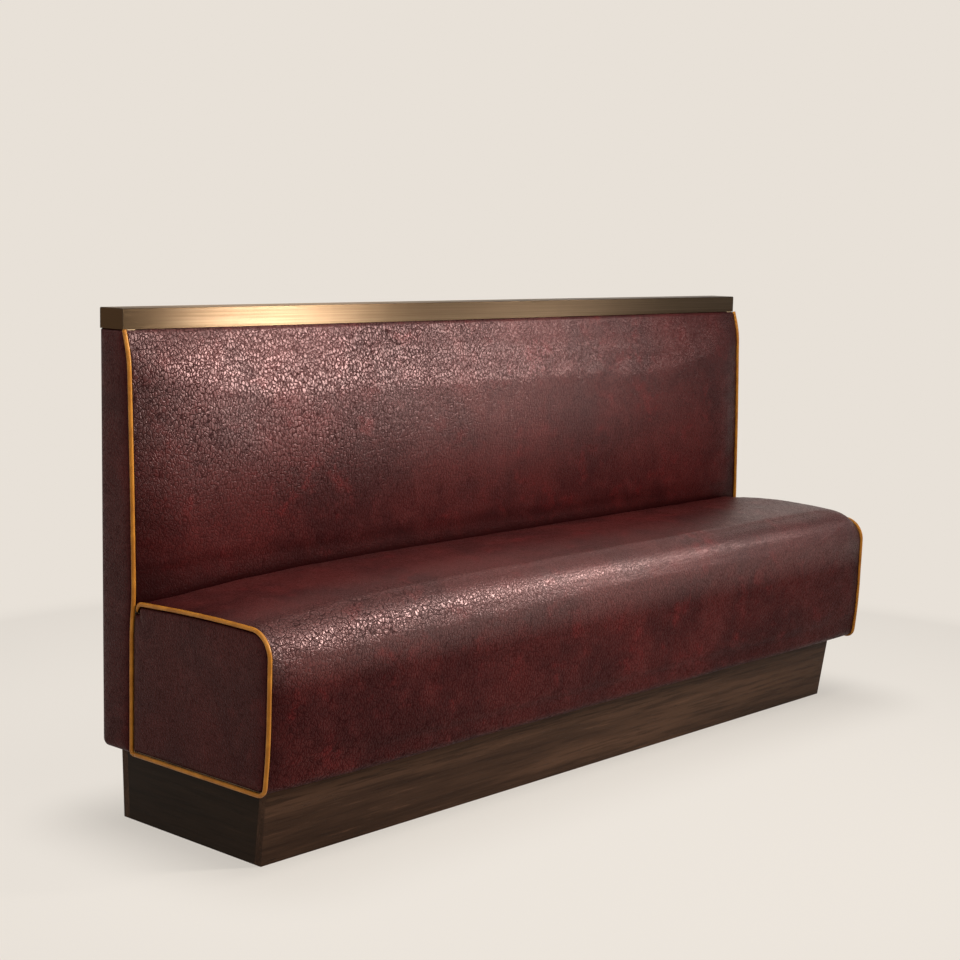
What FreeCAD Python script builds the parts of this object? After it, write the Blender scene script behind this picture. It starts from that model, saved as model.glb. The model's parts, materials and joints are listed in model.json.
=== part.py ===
import FreeCAD, Part
import math
import os

# A restaurant booth seat: a plinth, an upholstered seat unit and an upholstered back unit with a brass cap.
# Millimetres. X runs along the bench, +Y is the wall side, +Z is up.
# The origin is on the floor, under the middle of the whole booth.
# A depth is a distance forward from the wall face. A height is a distance up from the floor.

V = FreeCAD.Vector
SIDES = {"left": -1, "right": 1}

# Whole booth
overall_length = 2010.0
overall_depth = 504.0
overall_height = 1018.0
base_height = 158.0

# Sheets, layers and clearances
leather = 1.2
soft_gap = 0.3
running_gap = 0.1
overrun = 2.0

# Piping cord in the seams at both ends
piping_radius = 5.0
skin_proud = 1.0
end_foam_thickness = 8.0
end_board_thickness = 18.0

# Plinth
plinth_board = 18.0
plinth_end_inset = 49.0
plinth_end_rake = 5.0
plinth_front_inset = 64.0
plinth_front_rake = 22.0
plinth_rear_inset = 2.0
cross_member_thickness = 18.0
cross_member_lift = 30.0
member_count = 3
wall_hole_radius = 4.5
wall_hole_spacing = 1440.0
wall_hole_height = 100.0

# Levelling feet behind the plinth boards
foot_end_inset = 109.0
foot_front_inset = 78.0
foot_rear_depth = 56.0
foot_block_reach = 28.0
foot_block_low = 60.0
foot_block_high = 120.0
pad_radius = 22.0
pad_edge_height = 4.0
pad_height = 9.0
pad_neck_radius = 10.0
pad_chamfer = 1.5
stem_seat_height = 4.0
stem_top = 104.0
hex_half_width = 6.5
hex_height = 5.0

# M8 threads and tee nuts
thread_radius = 4.0
nut_barrel_radius = 5.0
nut_barrel_length = 10.0
nut_flange_radius = 11.0
nut_flange = 1.5
washer_radius = 9.0
washer_thickness = 1.6

# Wood screws
screw_radius = 2.5
screw_head_radius = 4.8
screw_tip = 5.0
frame_screw_length = 50.0
base_screw_length = 45.0
cap_screw_length = 55.0
panel_screw_radius = 1.75
panel_screw_head_radius = 3.4
panel_screw_length = 22.0

# Cap rail over the back unit
cap_end_inset = 5.0
cap_depth = 73.0
cap_height = 40.0
cap_wall = 2.0
cap_bend_radius = 3.0
cap_screw_count = 5

# Back unit frame
rear_panel_thickness = 6.0
stud_depth = 49.0
stud_width = 27.0
rail_height = 27.0
front_panel_thickness = 9.0
back_corner_radius = 15.0
panel_screw_rows = 5

# Backrest outline at the end seams, and how much further out it stands where the pad is full
tuck_depth = 76.0
shoulder_depth = 91.0
shoulder_drop = 50.0
waist_depth = 98.0
waist_share = 0.453
foot_depth = 102.0
foot_rise = 13.0
seam_low_depth = 94.5
seam_low_drop = 57.0
seam_base_depth = 92.5
shoulder_crown = 17.0
shoulder_crown_drop = 24.0
waist_crown = 26.0
foot_crown = 20.0
back_pad_drop = 19.0
tuck_radius = 5.0
shoulder_blend = 28.0
waist_blend = 60.0
foot_blend = 28.0
back_lower_radius = 10.0
back_crown_run = 260.0

# Seat outline at the end seams, and how much further out it stands where the pad is full
seat_rear_height = 457.0
seat_middle_rise = 7.5
seat_nose_rise = 3.5
seat_front_crown = 6.5
seat_belly_inset = 3.5
seat_belly_rise = 92.0
seat_lower_inset = 13.5
seat_nose_run = 50.0
seat_belly_blend = 50.0
seat_lower_radius = 20.0
seat_rear_radius = 14.0
seat_dome_share = 0.286
seat_rear_crown = 33.0
seat_middle_crown = 38.0
seat_nose_crown = 26.0
seat_crown_run_left = 1000.0
seat_crown_run_right = 130.0
front_crown_run = 420.0
crown_power = 3.5
crevice_gap = 1.2
piping_corner_radius = 6.0
end_corner_radius = 3.0
seat_piping_drop = 16.0

# Seat unit frame
base_board_thickness = 12.0
front_board_inset = 31.5
front_board_thickness = 18.0
rear_board_thickness = 18.0
deck_drop = 82.0
rib_thickness = 18.0
rib_drop = 25.0
webbing_width = 50.0
webbing_thickness = 1.5
webbing_count = 15
webbing_margin = 2.0

# Battens and bolts between the seat unit and the back unit
batten_count = 2
batten_share = 0.27
bolt_head_height = 5.3
bolt_spare = 4.0

# Stations of the pad sections, as shares of a reach from each end
station_reach = 700.0
station_shares = (0.0, 0.034, 0.085, 0.17, 0.31, 0.57, 1.0)

# Places that follow from the sizes above
half_length = overall_length / 2
seat_front_depth = overall_depth - seat_front_crown
seat_belly_depth = seat_front_depth - seat_belly_inset
seat_belly_height = base_height + seat_belly_rise
seat_lower_depth = seat_front_depth - seat_lower_inset
front_board_depth = seat_front_depth - front_board_inset
plinth_front_depth = overall_depth - plinth_front_inset
foot_front_depth = plinth_front_depth - foot_front_inset
deck_height = seat_rear_height - deck_drop
cap_half = half_length - cap_end_inset
cap_bottom = overall_height - cap_height
piping_x = half_length - piping_radius
skin_x = piping_x + skin_proud
end_foam_x = skin_x - leather - soft_gap
end_board_x = end_foam_x - end_foam_thickness - soft_gap
frame_x = end_board_x - end_board_thickness
cover_x = piping_x - piping_radius - soft_gap
cushion_x = frame_x - soft_gap
seam_inset = piping_radius + soft_gap
board_inset = leather + 2 * soft_gap
tuck_height = cap_bottom - soft_gap
foot_height = seat_rear_height + foot_rise
waist_height = foot_height + waist_share * (tuck_height - foot_height)
seam_low_height = seat_rear_height - seam_low_drop
back_pad_bottom = seat_rear_height - back_pad_drop
piping_join = seam_base_depth + 2 * piping_corner_radius
front_panel_rear = rear_panel_thickness + stud_depth
front_panel_face = front_panel_rear + front_panel_thickness
seat_rear_depth = foot_depth + piping_radius + 2 * soft_gap
front_board_rear = front_board_depth - front_board_thickness
rib_bottom = base_height + base_board_thickness
foam_bottom = deck_height + webbing_thickness + soft_gap
foot_x = half_length - foot_end_inset
foot_places = {
    "front_left": (-foot_x, foot_front_depth),
    "front_right": (foot_x, foot_front_depth),
    "rear_left": (-foot_x, foot_rear_depth),
    "rear_right": (foot_x, foot_rear_depth),
}
batten_height = batten_share * (deck_height - rib_bottom)
base_shift = rib_thickness / 2 + screw_head_radius + overrun
base_screw_sizes = (base_screw_length, screw_radius, screw_head_radius)
panel_screw_sizes = (panel_screw_length, panel_screw_radius, panel_screw_head_radius)

# Shape helpers


def y_at(depth):
    """Y of the plane at a depth."""
    return overall_depth / 2 - depth


def spread(low, high, count):
    """Evenly spaced places between two limits, with equal spaces outside the first and the last."""
    step = (high - low) / (count + 1)
    return [low + step * (index + 1) for index in range(count)]


def board(xs, depths, heights):
    """A rectangular board between two X values, two depths and two heights."""
    size_x = xs[1] - xs[0]
    size_y = depths[1] - depths[0]
    size_z = heights[1] - heights[0]
    return Part.makeBox(size_x, size_y, size_z, V(xs[0], y_at(depths[1]), heights[0]))


def ring_at(xs, depths, height):
    """Four corners at a height, anticlockwise seen from above."""
    rear = y_at(depths[0])
    front = y_at(depths[1])
    return [V(xs[0], front, height), V(xs[1], front, height), V(xs[1], rear, height), V(xs[0], rear, height)]


def flat_face(points):
    """A plane face with straight edges."""
    return Part.Face(Part.makePolygon(points + points[:1]))


def raked_board(low_xs, low_depths, high_xs, high_depths, heights):
    """A board with plane faces that lean between its foot and its top."""
    foot = ring_at(low_xs, low_depths, heights[0])
    top = ring_at(high_xs, high_depths, heights[1])
    faces = [flat_face(foot[::-1]), flat_face(top)]
    for index in range(len(foot)):
        after = (index + 1) % len(foot)
        faces.append(flat_face([foot[index], foot[after], top[after], top[index]]))
    return Part.makeSolid(Part.makeShell(faces))


def line(start, end):
    """A straight edge."""
    return Part.LineSegment(start, end).toShape()


def half_turn(before, corner, after):
    """Half the angle by which a path turns at a corner, in radians."""
    back = V(*before) - V(*corner)
    on = V(*after) - V(*corner)
    return (math.pi - back.getAngle(on)) / 2


def upright(point):
    """A depth and height pair as the coordinates of a flat vector."""
    return (point[0], point[1], 0)


def radius_for(points, index, run):
    """The corner radius whose arc starts a given run before the corner."""
    turn = half_turn(upright(points[index - 1]), upright(points[index]), upright(points[index + 1]))
    return run / math.tan(turn)


def inset(points, distance):
    """An open outline of depth and height pairs moved to its right, which is inwards on these outlines."""
    normals = []
    for (depth, height), (next_depth, next_height) in zip(points, points[1:]):
        run = math.hypot(next_depth - depth, next_height - height)
        normals.append(((next_height - height) / run, (depth - next_depth) / run))
    moved = []
    for index, (depth, height) in enumerate(points):
        first = normals[max(index - 1, 0)]
        second = normals[min(index, len(normals) - 1)]
        share = distance / (1 + first[0] * second[0] + first[1] * second[1])
        moved.append((depth + (first[0] + second[0]) * share, height + (first[1] + second[1]) * share))
    return moved


def on_line(first, second, height):
    """The point at a height on the line through two points of an outline."""
    share = (height - first[1]) / (second[1] - first[1])
    return first[0] + (second[0] - first[0]) * share, height


def soft_path(points, radii, x):
    """Edges of straight runs joined by tangent arcs, in the plane of an X value. A radius of 0 is sharp."""
    places = [V(x, y_at(depth), height) for depth, height in points]
    edges = []
    start = places[0]
    for before, corner, after, radius in zip(places, places[1:], places[2:], radii):
        if not radius:
            edges.append(line(start, corner))
            start = corner
            continue
        back = (before - corner).normalize()
        on = (after - corner).normalize()
        turn = (math.pi - back.getAngle(on)) / 2
        run = radius * math.tan(turn)
        first = corner + back * run
        last = corner + on * run
        middle = corner + (back + on).normalize() * (radius / math.cos(turn) - radius)
        edges.append(line(start, first))
        edges.append(Part.Arc(first, middle, last).toShape())
        start = last
    edges.append(line(start, places[-1]))
    return edges


def closed_wire(edges):
    """A closed wire from edges in order, with a straight edge from the last end to the first start."""
    start = edges[0].firstVertex(True).Point
    end = edges[-1].lastVertex(True).Point
    return Part.Wire(edges + [line(end, start)])


def plate(points, radii, xs):
    """A flat plate of a closed outline between two X values."""
    face = Part.Face(closed_wire(soft_path(points, radii, xs[0])))
    return face.extrude(V(xs[1] - xs[0], 0, 0))


def end_plate(side, points, radii, inner, outer):
    """A plate at one end of the booth, between its inner and outer distances from the middle."""
    xs = sorted((SIDES[side] * inner, SIDES[side] * outer))
    return plate(points, radii, xs)


def tube(points, radii, x):
    """A round cord along a path in the plane of an X value."""
    path = Part.Wire(soft_path(points, radii, x))
    start = path.Edges[0].firstVertex(True).Point
    direction = path.Edges[0].tangentAt(path.Edges[0].FirstParameter)
    profile = Part.Wire(Part.makeCircle(piping_radius, start, direction))
    return path.makePipeShell([profile], True, False)


def loft(section_at, limit):
    """A smooth solid through sections along the booth, between plus and minus a limit."""
    from_left = [-limit + share * station_reach for share in station_shares]
    stations = from_left + [0] + [-x for x in reversed(from_left)]
    return Part.makeLoft([section_at(x) for x in stations], True, False)


def slice_between(solid, limit):
    """The part of a solid between plus and minus a limit along the booth."""
    depths = (-overall_depth, 2 * overall_depth)
    return solid.common(board((-limit, limit), depths, (-overrun, 2 * overall_height)))


def screw(head, direction, length, radius, head_radius):
    """A countersunk wood screw: its head's flat face is at a point and it is driven along a direction."""
    sink = head_radius - radius
    tip = head + direction * (length - screw_tip)
    head_cone = Part.makeCone(head_radius, radius, sink, head, direction)
    shank = Part.makeCylinder(radius, length - sink - screw_tip, head + direction * sink, direction)
    point = Part.makeCone(radius, radius / 3, screw_tip, tip, direction)
    return head_cone.fuse([shank, point]).removeSplitter()


def frame_screw(head, direction):
    """A screw that joins two boards of a frame."""
    return screw(head, direction, frame_screw_length, screw_radius, screw_head_radius)


def hexagon(centre, direction, height):
    """A hexagonal prism that rises from a point along a direction."""
    corner_radius = hex_half_width / math.cos(math.pi / 6)
    across = V(1, 0, 0) if abs(direction.x) < 0.5 else V(0, 0, 1)
    other = direction.cross(across)
    points = []
    for index in range(6):
        angle = index * math.pi / 3
        arm = across * math.cos(angle) + other * math.sin(angle)
        points.append(centre + arm * corner_radius)
    return flat_face(points).extrude(direction * height)


def tee_nut(face, direction):
    """A tee nut whose flange lies on a board's face and whose barrel goes into it along a direction."""
    flange = Part.makeCylinder(nut_flange_radius, nut_flange, face - direction * nut_flange, direction)
    barrel = Part.makeCylinder(nut_barrel_radius, nut_barrel_length, face, direction)
    bore_start = face - direction * (nut_flange + overrun)
    bore_length = nut_barrel_length + nut_flange + 2 * overrun
    bore = Part.makeCylinder(thread_radius, bore_length, bore_start, direction)
    return flange.fuse(barrel).cut(bore).removeSplitter()


def drilled(solid, pieces):
    """A solid with room for the pieces that pass through it."""
    return solid.cut(Part.makeCompound(pieces))


# Plinth


def plinth_front_at(height):
    """Depth of the plinth's front face at a height: the board leans back towards the floor."""
    return plinth_front_depth - plinth_front_rake * (1 - height / base_height)


def plinth_end_at(height):
    """Distance of the plinth's end faces from the middle at a height."""
    return half_length - plinth_end_inset - plinth_end_rake * (1 - height / base_height)


def plinth_long_board(depths_at):
    """A board along the plinth, with its ends in the plane of the end boards' faces."""
    low = plinth_end_at(0)
    high = plinth_end_at(base_height)
    return raked_board((-low, low), depths_at(0), (-high, high), depths_at(base_height), (0, base_height))


def plinth_front_depths(height):
    """Rear and front face of the plinth's front board at a height."""
    return plinth_front_at(height) - plinth_board, plinth_front_at(height)


def plinth_rear_depths(height):
    """Rear and front face of the plinth's rear board, which stands upright at every height."""
    return plinth_rear_inset, plinth_rear_inset + plinth_board


def plinth_inside(height):
    """Depths between the rear board and the front board at a height."""
    return plinth_rear_inset + plinth_board, plinth_front_at(height) - plinth_board


def plinth_end_board(side):
    """A board between the plinth's long boards at one end."""
    def xs(height):
        outer = SIDES[side] * plinth_end_at(height)
        return sorted((outer, outer - SIDES[side] * plinth_board))
    top = base_height
    return raked_board(xs(0), plinth_inside(0), xs(top), plinth_inside(top), (0, top))


def member_places():
    """X of each upright member inside the plinth, the seat and the back, which stand in line."""
    return spread(-frame_x, frame_x, member_count)


def cross_members():
    """Boards across the plinth that carry the two units."""
    members = []
    for x in member_places():
        xs = (x - cross_member_thickness / 2, x + cross_member_thickness / 2)
        heights = (cross_member_lift, base_height)
        members.append(raked_board(xs, plinth_inside(heights[0]), xs, plinth_inside(heights[1]), heights))
    return members


def foot_block(x, depth):
    """A block in a plinth corner that holds a levelling foot, against the two boards of that corner."""
    sign = math.copysign(1, x)

    def xs(height):
        outer = sign * (plinth_end_at(height) - plinth_board)
        return sorted((outer, x - sign * foot_block_reach))

    def depths(height):
        rear, front = plinth_inside(height)
        if depth > (rear + front) / 2:
            return depth - foot_block_reach, front
        return rear, depth + foot_block_reach

    low = foot_block_low
    high = foot_block_high
    block = raked_board(xs(low), depths(low), xs(high), depths(high), (low, high))
    bore = Part.makeCylinder(nut_barrel_radius, 2 * overall_height, V(x, y_at(depth), 0))
    return block.cut(bore)


def foot_pad(x, depth):
    """A round foot pad with a blind seat for its stem."""
    outline = [
        V(0, 0, 0),
        V(pad_radius - pad_chamfer, 0, 0),
        V(pad_radius, 0, pad_chamfer),
        V(pad_radius, 0, pad_edge_height),
        V(pad_neck_radius, 0, pad_height),
        V(0, 0, pad_height),
    ]
    body = flat_face(outline).revolve(V(0, 0, 0), V(0, 0, 1), 360)
    seat = Part.makeCylinder(thread_radius - running_gap, pad_height, V(0, 0, stem_seat_height))
    pad = body.cut(seat)
    pad.translate(V(x, y_at(depth), 0))
    return pad


def foot_stem(x, depth):
    """A threaded stem with a hexagon just above its pad."""
    foot = V(x, y_at(depth), stem_seat_height)
    rod = Part.makeCylinder(thread_radius - running_gap, stem_top - stem_seat_height, foot)
    flats = hexagon(V(x, y_at(depth), pad_height), V(0, 0, 1), hex_height)
    return rod.fuse(flats).removeSplitter()


def wall_holes():
    """Two holes through the plinth's rear board for fixing the booth to a wall."""
    front = y_at(plinth_rear_inset + plinth_board + overrun)
    length = plinth_board + 2 * overrun
    holes = []
    for sign in SIDES.values():
        start = V(sign * wall_hole_spacing / 2, front, wall_hole_height)
        holes.append(Part.makeCylinder(wall_hole_radius, length, start, V(0, 1, 0)))
    return holes


# Outlines of the upholstery


def crown_share(x, run_left, run_right):
    """How full a pad is at an X value: 0 at the end seams and 1 beyond the runs given."""
    left = 1 - max(0, 1 - (x + cover_x) / run_left) ** crown_power
    right = 1 - max(0, 1 - (cover_x - x) / run_right) ** crown_power
    return left * right


def back_crown(x):
    """Fullness of the backrest at an X value."""
    return crown_share(x, back_crown_run, back_crown_run)


def back_front_line(share):
    """The backrest's front from the cap to its lower edge: tuck, shoulder, waist and foot."""
    return [
        (tuck_depth, tuck_height),
        (shoulder_depth + shoulder_crown * share, tuck_height - shoulder_drop - shoulder_crown_drop * share),
        (waist_depth + waist_crown * share, waist_height),
        (foot_depth + foot_crown * share, back_pad_bottom),
    ]


def back_radii(points, first):
    """Radii of the shoulder and the waist, whose first index in an outline is given."""
    return [radius_for(points, first, shoulder_blend), radius_for(points, first + 1, waist_blend)]


def nose_corner(top, push):
    """The corner of the seat's nose, set so that the front face starts at the front depth below its bend."""
    slope = (seat_front_depth - seat_belly_depth) / (top - seat_nose_run - seat_belly_height)
    return seat_front_depth + push + seat_nose_run * slope, top


def seat_line(rear, rise, push):
    """The seat's top and front, from its rear edge to its lower front corner."""
    middle = (rear + seat_front_depth + push) / 2
    nose_height = seat_rear_height + seat_nose_rise + seat_nose_crown * rise
    return [
        (rear, seat_rear_height + seat_rear_crown * rise),
        (middle, seat_rear_height + seat_middle_rise + seat_middle_crown * rise),
        nose_corner(nose_height, push),
        (seat_belly_depth + push, seat_belly_height),
        (seat_lower_depth + push, base_height),
    ]


def seat_outline(x, rear_height, flap_depth):
    """The seat's outline at an X value, from its rear edge over the top and front and then underneath."""
    rear = foot_depth + foot_crown * back_crown(x) + crevice_gap
    rise = crown_share(x, seat_crown_run_left, seat_crown_run_right)
    push = seat_front_crown * crown_share(x, front_crown_run, front_crown_run)
    return [(rear, rear_height)] + seat_line(rear, rise, push) + [(flap_depth, base_height)]


def seat_radii(points):
    """Corner radii of the seat's outline."""
    dome = radius_for(points, 2, seat_dome_share * (seat_front_depth - points[1][0]))
    nose = radius_for(points, 3, seat_nose_run)
    belly = radius_for(points, 4, seat_belly_blend)
    return [seat_rear_radius, dome, nose, belly, seat_lower_radius]


def skin_section(points, radii, x):
    """A thin closed section: an outline and the same outline one leather thickness inside it."""
    outer = soft_path(points, radii, x)
    inner_points = inset(points, leather)
    inner_radii = [radius - leather for radius in radii]
    inner = soft_path(inner_points[::-1], inner_radii[::-1], x)
    across = line(outer[-1].lastVertex(True).Point, inner[0].firstVertex(True).Point)
    return closed_wire(outer + [across] + inner)


def foam_section(points, radii, x, extra):
    """A closed foam section just inside the leather, with extra corners at its hidden side."""
    distance = leather + soft_gap
    inner_points = inset(points, distance) + extra
    inner_radii = [radius - distance for radius in radii] + [0] * len(extra)
    return closed_wire(soft_path(inner_points, inner_radii, x))


def seat_cover_section(x):
    """Section of the seat's leather cover."""
    points = seat_outline(x, seat_rear_height - seat_piping_drop, front_board_rear + soft_gap)
    return skin_section(points, seat_radii(points), x)


def seat_foam_section(x):
    """Section of the seat's foam, with its lip down the front board."""
    lip = front_board_depth + soft_gap
    points = seat_outline(x, foam_bottom, lip)
    return foam_section(points, seat_radii(points), x, [(lip, foam_bottom)])


def back_cover_section(x):
    """Section of the backrest's leather cover, from under the cap to its lower edge."""
    points = back_front_line(back_crown(x))
    return skin_section(points, back_radii(points, 1), x)


def back_foam_section(x):
    """Section of the backrest's foam on the front panel."""
    rear = front_panel_face + soft_gap
    points = [(rear, tuck_height)] + back_front_line(back_crown(x)) + [(rear, back_pad_bottom)]
    radii = [tuck_radius] + back_radii(points, 2) + [back_lower_radius]
    return foam_section(points, radii, x, [])


# Ends of the two units


def seat_end_line():
    """The seam around the seat's end: down the rear, over the top, round the nose and underneath."""
    rear = seat_rear_depth + piping_radius
    start = (rear, seat_rear_height - seat_piping_drop)
    return [start] + seat_line(rear, 0, 0) + [(piping_join + soft_gap, base_height)]


def seat_end_plate(side, distance, inner, outer):
    """A layer of the seat's end, a distance inside the seam."""
    seam = seat_end_line()
    inside = inset(seam, distance)
    step = seam[0][1] - piping_radius - soft_gap
    rear = inset(back_seam(), -piping_radius - 2 * soft_gap)
    rear_foot = on_line(rear[-2], rear[-1], inside[-1][1])
    rear_top = on_line(rear[-3], rear[-2], step)
    points = [(inside[0][0], step)] + inside[1:-1] + [rear_foot, rear[-2], rear_top]
    radii = [radius - distance for radius in seat_radii(seam)]
    radii += [end_corner_radius, back_seam_radii(back_seam())[-1]]
    return end_plate(side, points, radii, inner, outer)


def seat_piping(side):
    """Piping round the seat's end."""
    seam = seat_end_line()
    return tube(seam, seat_radii(seam), SIDES[side] * piping_x)


def back_seam():
    """The seam down the front edge of the back unit's end, from the cap to its underside."""
    below = [(foot_depth, foot_height), (seam_low_depth, seam_low_height), (seam_base_depth, base_height)]
    return back_front_line(0)[:-1] + below


def back_seam_radii(seam):
    """Radii of the bends of the back unit's seam."""
    runs = (shoulder_blend, waist_blend, foot_blend, foot_blend)
    return [radius_for(seam, index + 1, run) for index, run in enumerate(runs)]


def back_end_plate(side, distance, rear, top, inner, outer):
    """A layer of the back unit's end, a distance inside the seam, with a round lower rear corner."""
    seam = back_seam()
    radii = [radius - distance for radius in back_seam_radii(seam)]
    inside = inset(seam, distance)
    points = [on_line(inside[0], inside[1], top)] + inside[1:] + [(rear, base_height), (rear, top)]
    return end_plate(side, points, radii + [0, back_corner_radius], inner, outer)


def back_end_cover(side):
    """The leather on the back unit's end, with a strip that turns round the rear edge."""
    inner = skin_x - leather
    skin = back_end_plate(side, seam_inset, 0, tuck_height, inner, skin_x)
    xs = sorted((SIDES[side] * (frame_x + soft_gap), SIDES[side] * inner))
    strip = board(xs, (0, leather), (base_height + back_corner_radius, tuck_height))
    return skin.fuse(strip).removeSplitter()


def back_piping(side):
    """Piping down the front edge of the back unit, turned forward at its foot to meet the seat's."""
    seam = back_seam()
    start = on_line(seam[1], seam[0], tuck_height + piping_radius)
    points = [start] + seam[1:] + [(piping_join, base_height)]
    whole = tube(points, back_seam_radii(seam) + [piping_corner_radius], SIDES[side] * piping_x)
    return whole.common(board((-half_length, half_length), (0, overall_depth), (0, tuck_height)))


# Fasteners


def plinth_screws():
    """Screws from the plinth's rear board into the cross members and end boards."""
    places = member_places()
    places += [sign * (plinth_end_at(wall_hole_height) - plinth_board / 2) for sign in SIDES.values()]
    heights = spread(cross_member_lift, base_height, 2)
    return [frame_screw(V(x, y_at(plinth_rear_inset), z), V(0, -1, 0)) for x in places for z in heights]


def seat_rib_screws():
    """Screws through the seat's front board into the ribs."""
    heights = spread(rib_bottom, deck_height - rib_drop, 2)
    heads = [V(x, y_at(front_board_depth), z) for x in member_places() for z in heights]
    return [frame_screw(head, V(0, 1, 0)) for head in heads]


def end_screws(depth, heights):
    """Screws through both end boards into the end of a board at a depth."""
    screws = []
    for sign in SIDES.values():
        screws += [frame_screw(V(sign * end_board_x, y_at(depth), z), V(-sign, 0, 0)) for z in heights]
    return screws


def seat_end_screws():
    """Screws from the seat's end boards into its front and rear boards."""
    heights = spread(rib_bottom, deck_height, 2)
    front = end_screws(front_board_depth - front_board_thickness / 2, heights)
    return front + end_screws(seat_rear_depth + rear_board_thickness / 2, heights)


def back_end_screws():
    """Screws from the back unit's end boards into its two rails, two in each."""
    screws = []
    for depth in spread(rear_panel_thickness, front_panel_rear, 2):
        screws += end_screws(depth, [base_height + rail_height / 2, cap_bottom - rail_height / 2])
    return screws


def base_screws():
    """Screws from the seat's base board down into the cross members."""
    depths = spread(seat_rear_depth, plinth_front_depth - plinth_board, 2)
    head = base_height + base_board_thickness
    direction = V(0, 0, -1)
    screws = []
    for x in member_places():
        for depth in depths:
            screws.append(screw(V(x + base_shift, y_at(depth), head), direction, *base_screw_sizes))
    return screws


def cap_screws():
    """Screws from under the back unit's top rail up into the cap's core."""
    depth = (rear_panel_thickness + front_panel_rear) / 2
    screws = []
    for x in spread(-frame_x, frame_x, cap_screw_count):
        head = V(x, y_at(depth), cap_bottom - rail_height)
        screws.append(screw(head, V(0, 0, 1), cap_screw_length, screw_radius, screw_head_radius))
    return screws


def panel_screws():
    """Small screws through the rear panel into the studs and rails."""
    xs = member_places()
    low = base_height + rail_height / 2
    high = cap_bottom - rail_height / 2
    heights = [low + (high - low) * row / (panel_screw_rows - 1) for row in range(panel_screw_rows)]
    return [screw(V(x, y_at(0), z), V(0, -1, 0), *panel_screw_sizes) for x in xs for z in heights]


def batten_heights():
    """Heights of the battens' centre lines."""
    return spread(rib_bottom, deck_height, batten_count)


def bolt_places():
    """X and height of each bolt between the two units, midway between the upright members."""
    bay = 2 * frame_x / (member_count + 1)
    xs = [-frame_x + bay * (index + 0.5) for index in range(member_count + 1)]
    return [(x, height) for x in xs for height in batten_heights()]


def unit_bolt(x, height):
    """A bolt from inside the back unit, through its battens, into the seat's rear board."""
    under_head = front_panel_rear - washer_thickness
    reach = seat_rear_depth + rear_board_thickness + nut_flange + bolt_spare - under_head
    shank = Part.makeCylinder(thread_radius, reach, V(x, y_at(under_head), height), V(0, -1, 0))
    head = hexagon(V(x, y_at(under_head), height), V(0, 1, 0), bolt_head_height)
    return shank.fuse(head).removeSplitter()


def unit_washer(x, height):
    """A washer between a bolt's head and the back unit's front panel."""
    centre = V(x, y_at(front_panel_rear), height)
    disc = Part.makeCylinder(washer_radius, washer_thickness, centre, V(0, 1, 0))
    length = washer_thickness + 2 * overrun
    bore = Part.makeCylinder(thread_radius, length, centre - V(0, overrun, 0), V(0, 1, 0))
    return disc.cut(bore)


def tee_nuts():
    """Tee nuts over the levelling feet and in the seat's rear board."""
    nuts = [tee_nut(V(x, y_at(depth), foot_block_low), V(0, 0, 1)) for x, depth in foot_places.values()]
    face = y_at(seat_rear_depth + rear_board_thickness)
    nuts += [tee_nut(V(x, face, height), V(0, 1, 0)) for x, height in bolt_places()]
    return nuts


# Back unit frame and cap


def studs():
    """Upright timbers between the back unit's rails."""
    heights = (base_height + rail_height, cap_bottom - rail_height)
    depths = (rear_panel_thickness, front_panel_rear)
    return [board((x - stud_width / 2, x + stud_width / 2), depths, heights) for x in member_places()]


def back_rail(low):
    """A rail along the back unit."""
    return board((-frame_x, frame_x), (rear_panel_thickness, front_panel_rear), (low, low + rail_height))


def battens():
    """Battens that fill the space between the back unit's panel and the seat's rear board."""
    depths = (front_panel_face, seat_rear_depth)
    half = batten_height / 2
    levels = batten_heights()
    return [board((-frame_x, frame_x), depths, (level - half, level + half)) for level in levels]


def cap_rail():
    """A folded brass channel over the cap's core, open underneath."""
    outer = [(cap_depth, cap_bottom), (cap_depth, overall_height), (0, overall_height), (0, cap_bottom)]
    near = cap_depth - cap_wall
    inner_top = overall_height - cap_wall
    inner = [(cap_wall, cap_bottom), (cap_wall, inner_top), (near, inner_top), (near, cap_bottom)]
    bends = [cap_bend_radius, cap_bend_radius, 0, 0, cap_bend_radius - cap_wall, cap_bend_radius - cap_wall]
    return plate(outer + inner, bends, (-cap_half, cap_half))


def cap_core():
    """The timber inside the brass channel, between the end plates."""
    limit = cap_half - cap_wall
    depths = (cap_wall, cap_depth - cap_wall)
    core = board((-limit, limit), depths, (cap_bottom, overall_height - cap_wall))
    long_edges = [edge for edge in core.Edges if is_top_long(edge)]
    return core.makeFillet(cap_bend_radius - cap_wall, long_edges)


def is_top_long(edge):
    """Whether an edge of the core runs along its top."""
    box = edge.BoundBox
    level = box.ZMin > overall_height - 2 * cap_wall and box.ZLength < cap_wall
    return level and box.XLength > cap_height


def cap_end(side):
    """A brass plate that closes one end of the channel, inside its walls."""
    xs = sorted((SIDES[side] * (cap_half - cap_wall), SIDES[side] * cap_half))
    near = cap_depth - cap_wall
    top = overall_height - cap_wall
    radius = cap_bend_radius - cap_wall
    outline = [(near, cap_bottom), (near, top), (cap_wall, top), (cap_wall, cap_bottom)]
    return plate(outline, [radius, radius], xs)


# Seat unit frame


def seat_ribs():
    """Upright boards between the seat's front and rear boards."""
    depths = (seat_rear_depth + rear_board_thickness, front_board_rear)
    heights = (rib_bottom, deck_height - rib_drop)
    return [board((x - rib_thickness / 2, x + rib_thickness / 2), depths, heights) for x in member_places()]


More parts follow.
